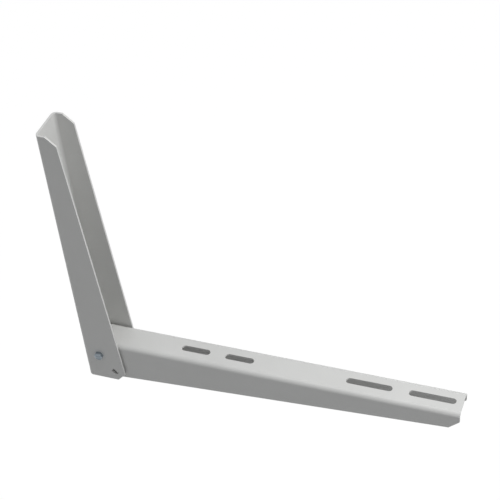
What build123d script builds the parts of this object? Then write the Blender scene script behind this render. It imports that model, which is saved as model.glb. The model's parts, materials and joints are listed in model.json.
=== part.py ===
"""Folding wall bracket for an outdoor unit: an upright channel, a support arm and their pivot.

Frame: X runs out from the wall, Y across the bracket, Z up. The origin lies on the back face of
the upright, at mid width, level with the top of the arm.
"""
import os
from math import asin, cos, degrees, radians, tan

from build123d import *

os.makedirs("parts", exist_ok=True)

# Sheet stock shared by both channels
sheet = 2.5
bend_inner_radius = 3.5

# Upright channel, measured up from the top of the arm
upright_width = 46.5
upright_above_arm = 312.0
upright_top_depth = 23.7
upright_bottom_depth = 51.3
upright_top_corner = 11.2
upright_bottom_corner = 11.0

# Wall fixings in the upright: a hole near each end, and a slot further in from each
anchor_hole_diameter = 9.0
anchor_hole_arm_margin = 45.0
anchor_hole_top_margin = 37.0
anchor_slot_width = 9.0
anchor_slot_length = 26.0
anchor_slot_offset = 60.0

# Support arm, measured out from the wall
arm_length = 466.0
arm_root_depth = 56.6
arm_tip_depth = 23.5
arm_tip_straight = 12.3
arm_tip_corner = 12.7
arm_rear_corner = 9.0

# Seat of the arm: its rear edges stop just clear of the web, its lower edge below the upright
arm_seat_gap = 0.6
arm_root_overhang = 1.1

# Slots for the feet of the unit: a short pair near the wall and a long pair near the tip
slots_in_pair = 2
foot_slot_width = 8.5
foot_slot_bridge = 19.2
short_slot_length = 36.4
short_slot_start = 122.9
long_slot_length = 55.2
long_slot_tip_margin = 8.0

# Pivot: one bolt through both channels, with a spacer washer in each side gap
pivot_from_wall = 20.5
pivot_below_arm = 16.6
bolt_diameter = 6.0
bolt_length = 60.0
bolt_end_chamfer = 0.8
bolt_running_clearance = 0.1
spacer_diameter = 16.0
spacer_thickness = 2.0
spacer_side_play = 0.1

# Hexagons of the bolt and the nut
hex_sides = 6
hex_across_flats = 10.0
hex_face_diameter = 9.4
hex_chamfer_angle = 30.0
bolt_head_height = 4.0
nut_hex_height = 4.4
nut_height = 6.0
nut_collar_diameter = 8.4
nut_collar_round = 0.8
nut_thread_clearance = 0.05
nut_washer_diameter = 12.0
nut_washer_thickness = 1.6

# Snap lock: a slot in each side of the upright, and a sprung tongue of the arm behind it
lock_slot_edge_margin = 13.8
lock_slot_lower_margin = 11.536
lock_slot_angle = -43.0
lock_slot_length = 8.4
lock_slot_width = 6.0
lock_slot_corner = 1.0
lock_tongue_width = 6.4
lock_tongue_length = 10.0
lock_tongue_slit = 1.2
lock_tongue_clearance = 1.2

# Sizes that follow from the ones above
bend_outer_radius = bend_inner_radius + sheet
upright_below_arm = arm_root_depth - arm_root_overhang
upright_height = upright_above_arm + upright_below_arm
anchor_holes = (anchor_hole_arm_margin, upright_above_arm - anchor_hole_top_margin)
anchor_slots = (anchor_holes[0] + anchor_slot_offset, anchor_holes[1] - anchor_slot_offset)
upright_inner_width = upright_width - 2 * sheet
side_gap = spacer_thickness + spacer_side_play
arm_width = upright_inner_width - 2 * side_gap
arm_inner_width = arm_width - 2 * sheet
arm_rear = sheet + arm_seat_gap
swing_radius = pivot_from_wall - arm_rear
pivot = (pivot_from_wall, -pivot_below_arm)
pivot_hole_diameter = bolt_diameter + 2 * bolt_running_clearance


def upright_depth(z):
    """Depth of the upright's sides, which grows evenly from the top to the bottom."""
    share = (upright_above_arm - z) / upright_height
    return upright_top_depth + (upright_bottom_depth - upright_top_depth) * share


def arm_depth(x):
    """Depth of the arm's sides, which shrinks evenly from the wall to the tip."""
    return arm_root_depth + (arm_tip_depth - arm_root_depth) * x / arm_length


# The lock slot keeps its margins to the front of the upright and to the lower edge of the arm
lock_slot_x = upright_bottom_depth - lock_slot_edge_margin
lock_slot_z = lock_slot_lower_margin - arm_depth(lock_slot_x)

# Upright channel: side outline, rounded back corners, hollow inside
top_corner_z = upright_above_arm - upright_top_corner
bottom_corner_z = upright_bottom_corner - upright_below_arm

with BuildPart() as wall_upright:
    with BuildSketch(Plane.XZ):
        with BuildLine():
            Polyline(
                (0, -upright_below_arm),
                (0, upright_above_arm),
                (upright_top_depth - upright_top_corner, upright_above_arm),
                (upright_depth(top_corner_z), top_corner_z),
                (upright_depth(bottom_corner_z), bottom_corner_z),
                (upright_bottom_depth - upright_bottom_corner, -upright_below_arm),
                close=True,
            )
        make_face()
    extrude(amount=upright_width / 2, both=True)
    back_corners = wall_upright.edges().filter_by(Axis.Z).group_by(Axis.X)[0]
    fillet(back_corners, bend_outer_radius)
    with BuildSketch(Plane.XY.offset(-upright_below_arm)) as upright_hollow:
        with Locations((sheet, 0)):
            Rectangle(upright_bottom_depth, upright_inner_width, align=(Align.MIN, Align.CENTER))
        fillet(upright_hollow.vertices().group_by(Axis.X)[0], bend_inner_radius)
    extrude(amount=upright_height, mode=Mode.SUBTRACT)
    # Anchor holes and upright anchor slots in the web
    with BuildSketch(Plane.YZ):
        with Locations(*[(0, height) for height in anchor_holes]):
            Circle(anchor_hole_diameter / 2)
        with Locations(*[(0, height) for height in anchor_slots]):
            SlotOverall(anchor_slot_length, anchor_slot_width, rotation=90)
    extrude(amount=sheet, mode=Mode.SUBTRACT)
    # Pivot hole and lock slot through both sides
    with BuildSketch(Plane.XZ):
        with Locations(pivot):
            Circle(pivot_hole_diameter / 2)
        with Locations((lock_slot_x, lock_slot_z)):
            RectangleRounded(
                lock_slot_length, lock_slot_width, lock_slot_corner, rotation=lock_slot_angle
            )
    extrude(amount=upright_width / 2, both=True, mode=Mode.SUBTRACT)

wall_upright.part.label = "wall_upright"
export_step(wall_upright.part, "parts/wall_upright.step")

# Support arm: its rear end is rounded about the pivot, so that it swings clear of the upright
rear_arc_angle = degrees(asin(pivot_below_arm / swing_radius))
long_slot_pitch = long_slot_length + foot_slot_bridge
long_slot_start = arm_length - long_slot_tip_margin + foot_slot_bridge - slots_in_pair * long_slot_pitch
foot_slots = [
    (start + length / 2 + number * (length + foot_slot_bridge), length)
    for start, length in ((short_slot_start, short_slot_length), (long_slot_start, long_slot_length))
    for number in range(slots_in_pair)
]

# The lock plane lies in the side of the arm: its first direction runs along the lock slot
lock_plane = Plane(
    origin=(lock_slot_x, 0, lock_slot_z),
    x_dir=Vector(1, 0, 0).rotate(Axis.Y, -lock_slot_angle),
    z_dir=(0, -1, 0),
)
tongue_tip = lock_slot_width / 2
tongue_root = tongue_tip - lock_tongue_length
tongue_rise = side_gap - lock_tongue_clearance

with BuildPart() as support_arm:
    with BuildSketch(Plane.XZ):
        with BuildLine():
            rear_arc = CenterArc(pivot, swing_radius, 180 - rear_arc_angle, rear_arc_angle)
            Polyline(
                rear_arc @ 1,
                (arm_rear, arm_rear_corner - arm_depth(arm_rear)),
                (arm_rear + arm_rear_corner, -arm_depth(arm_rear + arm_rear_corner)),
                (arm_length - arm_tip_corner, -arm_depth(arm_length - arm_tip_corner)),
                (arm_length, -arm_tip_straight),
                (arm_length, 0),
                rear_arc @ 0,
            )
        make_face()
    extrude(amount=arm_width / 2, both=True)
    top_corners = support_arm.edges().filter_by(Axis.X).group_by(Axis.Z)[-1]
    fillet(top_corners, bend_outer_radius)
    with BuildSketch(Plane.YZ) as arm_hollow:
        with Locations((0, -sheet)):
            Rectangle(arm_inner_width, arm_root_depth, align=(Align.CENTER, Align.MAX))
        fillet(arm_hollow.vertices().group_by(Axis.Y)[-1], bend_inner_radius)
    extrude(amount=arm_length, mode=Mode.SUBTRACT)
    # Foot slots in the web
    with BuildSketch(Plane.XY):
        for centre, length in foot_slots:
            with Locations((centre, 0)):
                SlotOverall(length, foot_slot_width)
    extrude(amount=-sheet, mode=Mode.SUBTRACT)
    # Pivot hole through both sides
    with BuildSketch(Plane.XZ):
        with Locations(pivot):
            Circle(pivot_hole_diameter / 2)
    extrude(amount=arm_width / 2, both=True, mode=Mode.SUBTRACT)
    # Windows in both sides, which free the tongues
    with BuildSketch(lock_plane):
        with Locations((0, tongue_tip + lock_tongue_slit)):
            Rectangle(
                lock_tongue_width + 2 * lock_tongue_slit,
                lock_tongue_length + lock_tongue_slit,
                align=(Align.CENTER, Align.MAX),
            )
    extrude(amount=arm_width / 2, both=True, mode=Mode.SUBTRACT)
    # Each tongue rises from its root towards the lock slot
    tongue_plane = Plane(
        origin=(lock_slot_x, -arm_width / 2, lock_slot_z),
        x_dir=lock_plane.y_dir,
        z_dir=lock_plane.x_dir,
    )
    with BuildSketch(tongue_plane):
        with BuildLine():
            Polyline(
                (tongue_root, -sheet),
                (tongue_root, 0),
                (tongue_tip, tongue_rise),
                (tongue_tip, tongue_rise - sheet),
                close=True,
            )
        make_face()
    near_tongue = extrude(amount=lock_tongue_width / 2, both=True)
    mirror(near_tongue, about=Plane.XZ)

support_arm.part.label = "support_arm"
export_step(support_arm.part, "parts/support_arm.step")

# Hardware on the pivot axis, from the head on the near side to the nut on the far side
near_face = -upright_width / 2
far_face = upright_width / 2
nut_seat = far_face + nut_washer_thickness
hex_corner_radius = hex_across_flats / 2 / cos(radians(180 / hex_sides))
hex_chamfer_drop = (hex_corner_radius - hex_face_diameter / 2) * tan(radians(hex_chamfer_angle))


def across_pivot(y):
    """Plane square to the pivot axis at the given Y, centred on the axis and facing +Y."""
    return Plane(origin=(pivot_from_wall, y, -pivot_below_arm), x_dir=(1, 0, 0), z_dir=(0, 1, 0))


def along_pivot(y):
    """Plane that holds the pivot axis: its first direction is a radius, its second runs along +Y."""
    return Plane(origin=(pivot_from_wall, y, -pivot_below_arm), x_dir=(1, 0, 0), z_dir=(0, 0, 1))


def hexagon(seat, height, way):
    """Chamfered hexagon that stands on its seat at Y, towards +Y for a way of 1 and -Y for -1."""
    with BuildPart() as blank:
        with BuildSketch(across_pivot(seat)):
            RegularPolygon(hex_across_flats / 2, hex_sides, major_radius=False)
        extrude(amount=way * height)
        with BuildSketch(along_pivot(seat)):
            with BuildLine():
                Polyline(
                    (0, 0),
                    (hex_corner_radius, 0),
                    (hex_corner_radius, way * (height - hex_chamfer_drop)),
                    (hex_face_diameter / 2, way * height),
                    (0, way * height),
                    close=True,
                )
            make_face()
        pivot_axis = Axis((pivot_from_wall, seat, -pivot_below_arm), (0, 1, 0))
        revolve(axis=pivot_axis, mode=Mode.INTERSECT)
    return blank.part


# Pivot bolt: hexagon head against the near side, shank through both channels
bolt_head = hexagon(near_face, bolt_head_height, -1)

with BuildPart() as pivot_bolt:
    with BuildSketch(across_pivot(near_face)):
        Circle(bolt_diameter / 2)
    extrude(amount=bolt_length)
    chamfer(pivot_bolt.edges().filter_by(GeomType.CIRCLE).sort_by(Axis.Y)[-1], bolt_end_chamfer)
    add(bolt_head)

pivot_bolt.part.label = "pivot_bolt"
export_step(pivot_bolt.part, "parts/pivot_bolt.step")

# Washers: a spacer against each inner face of the upright, and one under the nut
washers = {
    "near_spacer_washer": (near_face + sheet, spacer_thickness, spacer_diameter),
    "far_spacer_washer": (far_face - sheet - spacer_thickness, spacer_thickness, spacer_diameter),
    "nut_washer": (far_face, nut_washer_thickness, nut_washer_diameter),
}

for washer_name, (start, thickness, diameter) in washers.items():
    with BuildPart() as washer:
        with BuildSketch(across_pivot(start)):
            Circle(diameter / 2)
            Circle(pivot_hole_diameter / 2, mode=Mode.SUBTRACT)
        extrude(amount=thickness)
    washer.part.label = washer_name
    export_step(washer.part, f"parts/{washer_name}.step")

# Lock nut: hexagon with a round collar on its outer side
nut_hexagon = hexagon(nut_seat, nut_hex_height, 1)

with BuildPart() as lock_nut:
    with BuildSketch(across_pivot(nut_seat)):
        Circle(nut_collar_diameter / 2)
    extrude(amount=nut_height)
    fillet(lock_nut.edges().filter_by(GeomType.CIRCLE).sort_by(Axis.Y)[-1], nut_collar_round)
    add(nut_hexagon)
    with BuildSketch(across_pivot(nut_seat)):
        Circle(bolt_diameter / 2 + nut_thread_clearance)
    extrude(amount=nut_height, mode=Mode.SUBTRACT)

lock_nut.part.label = "lock_nut"
export_step(lock_nut.part, "parts/lock_nut.step")
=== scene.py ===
"""Looks of the folding wall bracket: powder-coated sheet, zinc-plated hardware, nylon spacers."""
import json
import math

import bmesh
import bpy
from mathutils import Matrix, Vector


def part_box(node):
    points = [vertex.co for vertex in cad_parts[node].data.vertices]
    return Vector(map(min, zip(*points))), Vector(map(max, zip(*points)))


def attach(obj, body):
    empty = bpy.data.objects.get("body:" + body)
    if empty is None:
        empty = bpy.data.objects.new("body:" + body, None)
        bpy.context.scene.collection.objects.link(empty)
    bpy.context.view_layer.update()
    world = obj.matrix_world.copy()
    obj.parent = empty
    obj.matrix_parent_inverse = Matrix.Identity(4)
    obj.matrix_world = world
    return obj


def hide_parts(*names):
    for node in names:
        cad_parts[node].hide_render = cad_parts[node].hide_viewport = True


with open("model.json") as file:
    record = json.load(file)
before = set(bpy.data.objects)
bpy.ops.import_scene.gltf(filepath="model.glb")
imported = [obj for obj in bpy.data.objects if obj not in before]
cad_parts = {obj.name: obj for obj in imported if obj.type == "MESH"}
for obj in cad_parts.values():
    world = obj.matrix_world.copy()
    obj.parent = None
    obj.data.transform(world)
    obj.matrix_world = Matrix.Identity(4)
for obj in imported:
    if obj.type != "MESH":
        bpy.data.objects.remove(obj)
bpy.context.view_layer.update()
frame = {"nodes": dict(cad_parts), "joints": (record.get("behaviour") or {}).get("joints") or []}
nodes = frame["nodes"]


MM = 0.001

# Shader maths


class Val:
    """A shader socket that takes part in plain arithmetic."""

    def __init__(self, tree, socket):
        self.tree = tree
        self.socket = socket

    def _math(self, operation, first, second):
        return node(self.tree, "ShaderNodeMath", {"operation": operation}, {0: first, 1: second})

    def __add__(self, other):
        return self._math("ADD", self, other)

    def __radd__(self, other):
        return self._math("ADD", other, self)

    def __sub__(self, other):
        return self._math("SUBTRACT", self, other)

    def __rsub__(self, other):
        return self._math("SUBTRACT", other, self)

    def __mul__(self, other):
        return self._math("MULTIPLY", self, other)

    def __rmul__(self, other):
        return self._math("MULTIPLY", other, self)


def node(tree, kind, settings=None, inputs=None, output=0):
    """Adds one node: its settings first, then the values or links of its sockets."""
    made = tree.nodes.new(kind)
    for name, value in (settings or {}).items():
        if name == "stops":
            set_stops(made.color_ramp.elements, value)
        else:
            setattr(made, name, value)
    for name, value in (inputs or {}).items():
        if isinstance(value, Val):
            tree.links.new(value.socket, made.inputs[name])
        else:
            made.inputs[name].default_value = value
    return Val(tree, made.outputs[output]) if made.outputs else None


def set_stops(elements, stops):
    """Gives a ramp its stops, each a position and a colour, from the lowest up."""
    while len(elements) < len(stops):
        elements.new(1.0)
    for element, (position, colour) in zip(elements, stops):
        element.position = position
        element.color = colour


def ramp(tree, factor, *stops):
    """A colour that runs from stop to stop as the factor rises."""
    return node(tree, "ShaderNodeValToRGB", {"stops": stops}, {"Fac": factor})


def grey(value, tint=(1.0, 1.0, 1.0)):
    """A grey of the given value, tinted by a factor for each of red, green and blue."""
    return tuple(value * part for part in tint) + (1.0,)


def object_place(tree, scale=(1.0, 1.0, 1.0)):
    """Object coordinates in metres, stretched by the given scale."""
    place = node(tree, "ShaderNodeTexCoord", output="Object")
    return node(tree, "ShaderNodeMapping", inputs={"Vector": place, "Scale": scale})


def noise(tree, place, scale, detail, roughness=0.5):
    """Cloudy noise, with about as many lumps to the unit of its place as its scale says."""
    sockets = {"Vector": place, "Scale": scale, "Detail": detail, "Roughness": roughness}
    return node(tree, "ShaderNodeTexNoise", inputs=sockets)


def bump(tree, height, distance, strength):
    """Surface relief that follows a height from 0 to 1, with its distance in metres."""
    sockets = {"Height": height, "Distance": distance, "Strength": strength}
    return node(tree, "ShaderNodeBump", inputs=sockets)


def principled(tree, **sockets):
    """A Principled shader, whose sockets are given in lower case with underscores."""
    inputs = {name.replace("_", " ").title(): value for name, value in sockets.items()}
    return node(tree, "ShaderNodeBsdfPrincipled", inputs=inputs)


def material(name, finish):
    """A material whose shader is filled in by its finish function."""
    made = bpy.data.materials.new(name)
    made.use_nodes = True
    tree = made.node_tree
    tree.nodes.clear()
    node(tree, "ShaderNodeOutputMaterial", inputs={"Surface": finish(tree)})
    return made


# Finishes of the bracket


def powder_finish(tree):
    """Satin light grey powder coat: fine orange peel, faint cloudiness in tone and gloss."""
    place = object_place(tree)
    peel = noise(tree, place, scale=900.0, detail=2.0, roughness=0.55)
    speck = noise(tree, place, scale=2600.0, detail=1.0)
    cloud = noise(tree, place, scale=14.0, detail=3.0, roughness=0.6)
    tone = cloud * 0.6 + peel * 0.25 + speck * 0.15
    dark = grey(0.635, tint=(1.0, 1.0, 0.975))
    light = grey(0.690, tint=(1.0, 1.0, 0.980))
    return principled(
        tree,
        base_color=ramp(tree, tone, (0.30, dark), (0.70, light)),
        roughness=0.36 + cloud * 0.12,
        coat_weight=0.12,
        coat_roughness=0.25,
        normal=bump(tree, peel + speck * 0.3, distance=0.02 * MM, strength=0.35),
    )


def zinc_finish(tree):
    """Bluish zinc plating, clouded and streaked as it comes from a plating barrel."""
    place = object_place(tree)
    cloud = noise(tree, place, scale=330.0, detail=3.0, roughness=0.6)
    streak = noise(tree, object_place(tree, scale=(90.0, 260.0, 560.0)), scale=1.0, detail=2.0)
    grain = noise(tree, place, scale=3000.0, detail=1.0)
    tone = cloud * 0.55 + streak * 0.45
    dull = grey(0.175, tint=(0.82, 1.00, 1.14))
    plain = grey(0.27, tint=(0.86, 1.00, 1.12))
    bright = grey(0.48, tint=(0.93, 1.00, 1.07))
    return principled(
        tree,
        base_color=ramp(tree, tone, (0.34, dull), (0.52, plain), (0.70, bright)),
        metallic=0.75,
        roughness=0.26 + cloud * 0.18,
        normal=bump(tree, tone * 0.7 + grain * 0.3, distance=0.04 * MM, strength=0.5),
    )


def nylon_finish(tree):
    """Natural white nylon: matt, slightly milky, with a trace of the moulding grain."""
    cloud = noise(tree, object_place(tree), scale=180.0, detail=2.0)
    shaded = grey(0.66, tint=(1.0, 0.99, 0.95))
    milky = grey(0.74, tint=(1.0, 0.99, 0.96))
    return principled(
        tree,
        base_color=ramp(tree, cloud, (0.35, shaded), (0.65, milky)),
        roughness=0.48 + cloud * 0.1,
        normal=bump(tree, cloud, distance=0.03 * MM, strength=0.3),
    )


powder_coat = material("powder_coat", powder_finish)
zinc = material("zinc", zinc_finish)
spacer_nylon = material("spacer_nylon", nylon_finish)

# Pieces that stand in for a node

DOUBLES_WITHIN = 0.001 * MM
FLAT_WITHIN = math.radians(0.5)


def dress(piece, finish):
    """Gives a piece one finish all over."""
    piece.data.materials.clear()
    piece.data.materials.append(finish)


def new_object(name, work):
    """Turns a working mesh into an object of the scene."""
    mesh = bpy.data.meshes.new(name)
    work.to_mesh(mesh)
    work.free()
    made = bpy.data.objects.new(name, mesh)
    bpy.context.scene.collection.objects.link(made)
    return made


def merged_copy(source):
    """The shape of a node as a working mesh, with its doubles merged and its flats whole."""
    work = bmesh.new()
    work.from_mesh(nodes[source].data)
    bmesh.ops.remove_doubles(work, verts=work.verts, dist=DOUBLES_WITHIN)
    bmesh.ops.dissolve_limit(
        work, angle_limit=FLAT_WITHIN, verts=work.verts, edges=work.edges, delimit=set()
    )
    return work


def stand_in(work, name, source, body, finish):
    """Turns a working mesh into the piece that replaces a node."""
    piece = new_object(name, work)
    dress(piece, finish)
    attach(piece, body)
    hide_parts(source)
    return piece


# Folded sheets: smooth bends, and cut edges that the coat has softened

EDGE_ROUND = 0.5 * MM
EDGE_STEPS = 3
EDGE_ANGLE = math.radians(40)
FLAT_WEIGHT = 100


def folded_sheet(source, name, body):
    """The powder-coated sheet that replaces a node, shaded so that its flats stay even."""
    piece = stand_in(merged_copy(source), name, source, body, powder_coat)
    for face in piece.data.polygons:
        face.use_smooth = True
    rounding = piece.modifiers.new("soft_edges", "BEVEL")
    rounding.width = EDGE_ROUND
    rounding.segments = EDGE_STEPS
    rounding.limit_method = "ANGLE"
    rounding.angle_limit = EDGE_ANGLE
    rounding.use_clamp_overlap = True
    shading = piece.modifiers.new("even_flats", "WEIGHTED_NORMAL")
    shading.mode = "FACE_AREA"
    shading.weight = FLAT_WEIGHT


folded_sheet("wall_upright", "upright_sheet", "upright")
folded_sheet("support_arm", "arm_sheet", "arm")

# Pivot bolt: its shank is cut inside the nut, and a threaded end goes on from there

arm_fold = frame["joints"][0]
PIVOT_X, _, PIVOT_Z = arm_fold["pos_m"]
BOLT_RADIUS = 3.0 * MM
BOLT_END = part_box("pivot_bolt")[1].y
BOLT_END_CHAMFER = 0.8 * MM
THREAD_LENGTH = 7.75 * MM
THREAD_START = BOLT_END - THREAD_LENGTH
THREAD_PITCH = 1.0 * MM
THREAD_DEPTH = 0.55 * MM
FLANK_SLOPE = 1.3
ROWS_PER_PITCH = 8
STEPS_PER_TURN = 40
SEAM_WITHIN = 0.0001 * MM


def thread_radius(y, share):
    """Radius of the thread at Y, a share of one turn round: a wave with flat crests and roots."""
    wave = abs(((y / THREAD_PITCH - share) % 1.0) * 2.0 - 1.0)
    groove = min(max(0.5 + (wave - 0.5) * FLANK_SLOPE, 0.0), 1.0)
    cone = BOLT_RADIUS - max(y - (BOLT_END - BOLT_END_CHAMFER), 0.0)
    return min(BOLT_RADIUS - THREAD_DEPTH * groove, cone)


def threaded_bolt():
    """Bolt whose shank ends inside the nut, with a flat grid rolled up into its threaded end."""
    work = merged_copy("pivot_bolt")
    whole = work.verts[:] + work.edges[:] + work.faces[:]
    cut = (0.0, THREAD_START, 0.0)
    bmesh.ops.bisect_plane(work, geom=whole, plane_co=cut, plane_no=(0.0, 1.0, 0.0), clear_outer=True)
    rows = round(THREAD_LENGTH / THREAD_PITCH * ROWS_PER_PITCH)
    # The grid is 1 by 1 about its middle: X goes once round the axis, and Y along the thread
    grid = bmesh.ops.create_grid(work, x_segments=STEPS_PER_TURN, y_segments=rows, size=0.5)["verts"]
    for vert in grid:
        share = vert.co.x + 0.5
        y = THREAD_START + (vert.co.y + 0.5) * THREAD_LENGTH
        radius = thread_radius(y, share)
        angle = share * math.tau
        vert.co = (PIVOT_X + radius * math.cos(angle), y, PIVOT_Z + radius * math.sin(angle))
    bmesh.ops.remove_doubles(work, verts=grid, dist=SEAM_WITHIN)
    bmesh.ops.holes_fill(work, edges=[edge for edge in work.edges if edge.is_boundary], sides=0)
    bmesh.ops.recalc_face_normals(work, faces=work.faces)
    stand_in(work, "threaded_bolt", "pivot_bolt", "upright", zinc)


threaded_bolt()

# The other hardware keeps its own shape

for plated in ("nut_washer", "lock_nut"):
    dress(nodes[plated], zinc)
for spacer in ("near_spacer_washer", "far_spacer_washer"):
    dress(nodes[spacer], spacer_nylon)

# Floor and light

FLOOR_HEIGHT = -0.6
FLOOR_HALF_WIDTH = 6.0
FLOOR_WHITE = 1.085
FLOOR_WHITE_SHARE = 0.9
SKY_LIGHT = 0.33
SKY_SEEN = 1.02
SKY_COLOUR = grey(1.0, tint=(0.980, 0.995, 1.015))
LAMP_AIM = Vector((0.23, 0.0, 0.05))


def seen_share(tree):
    """1 for a ray from the camera or off a gloss, 0 for a ray of scattered light."""
    camera_ray = node(tree, "ShaderNodeLightPath", output="Is Camera Ray")
    glossy_ray = node(tree, "ShaderNodeLightPath", output="Is Glossy Ray")
    return camera_ray + glossy_ray


def floor_finish(tree):
    """Pale floor: white to the eye where it is lit, a touch darker in the shadow."""
    lit = principled(tree, base_color=grey(0.55), roughness=0.9)
    veil = node(
        tree, "ShaderNodeEmission", inputs={"Color": grey(1.0), "Strength": FLOOR_WHITE}
    )
    share = seen_share(tree) * FLOOR_WHITE_SHARE
    return node(tree, "ShaderNodeMixShader", inputs={0: share, 1: lit, 2: veil})


def add_floor():
    """A wide flat floor, well below the arm."""
    work = bmesh.new()
    bmesh.ops.create_grid(work, x_segments=1, y_segments=1, size=FLOOR_HALF_WIDTH)
    bmesh.ops.translate(work, verts=work.verts, vec=(0.0, 0.0, FLOOR_HEIGHT))
    floor = new_object("floor", work)
    dress(floor, material("floor_white", floor_finish))


def add_world():
    """An even sky that lights the bracket softly, and is white to the eye and in a gloss."""
    world = bpy.data.worlds.new("studio")
    bpy.context.scene.world = world
    world.use_nodes = True
    tree = world.node_tree
    tree.nodes.clear()
    seen = seen_share(tree)
    strength = seen * SKY_SEEN + (1 - seen) * SKY_LIGHT
    sky = node(tree, "ShaderNodeBackground", inputs={"Color": SKY_COLOUR, "Strength": strength})
    node(tree, "ShaderNodeOutputWorld", inputs={"Surface": sky})


def add_lamp(name, place, size, power):
    """A round soft lamp that faces the middle of the bracket."""
    lamp = bpy.data.lights.new(name, "AREA")
    lamp.shape = "DISK"
    lamp.size = size
    lamp.energy = power
    holder = bpy.data.objects.new(name, lamp)
    turn = (Vector(place) - LAMP_AIM).to_track_quat("Z", "Y")
    holder.matrix_world = Matrix.Translation(place) @ turn.to_matrix().to_4x4()
    bpy.context.scene.collection.objects.link(holder)


add_floor()
add_world()
add_lamp("key", place=(1.10, 0.05, 0.95), size=0.6, power=8.3)
add_lamp("overhead", place=(0.25, -0.05, 1.5), size=1.2, power=5.15)

# Camera, placed by a fit of the bracket's edges to the photograph

CAMERA_PLACE = (0.680948, -1.030358, 1.158554)
CAMERA_RIGHT = Vector((0.938615, 0.334551, -0.084132))
CAMERA_UP = Vector((-0.161560, 0.641795, 0.749665))
CAMERA_LENS = 98.293
CAMERA_SENSOR = 36.0
CAMERA_NEAR = 0.05
CAMERA_FAR = 50.0


def add_camera():
    """The scene's camera, at the angle of the photograph."""
    data = bpy.data.cameras.new("photo_camera")
    data.sensor_width = CAMERA_SENSOR
    data.lens = CAMERA_LENS
    data.clip_start = CAMERA_NEAR
    data.clip_end = CAMERA_FAR
    holder = bpy.data.objects.new("photo_camera", data)
    right = CAMERA_RIGHT.normalized()
    back = right.cross(CAMERA_UP).normalized()
    turn = Matrix((right, back.cross(right), back)).transposed()
    holder.matrix_world = Matrix.Translation(CAMERA_PLACE) @ turn.to_4x4()
    bpy.context.scene.collection.objects.link(holder)
    bpy.context.scene.camera = holder


add_camera()
bpy.context.scene.view_settings.view_transform = "Standard"
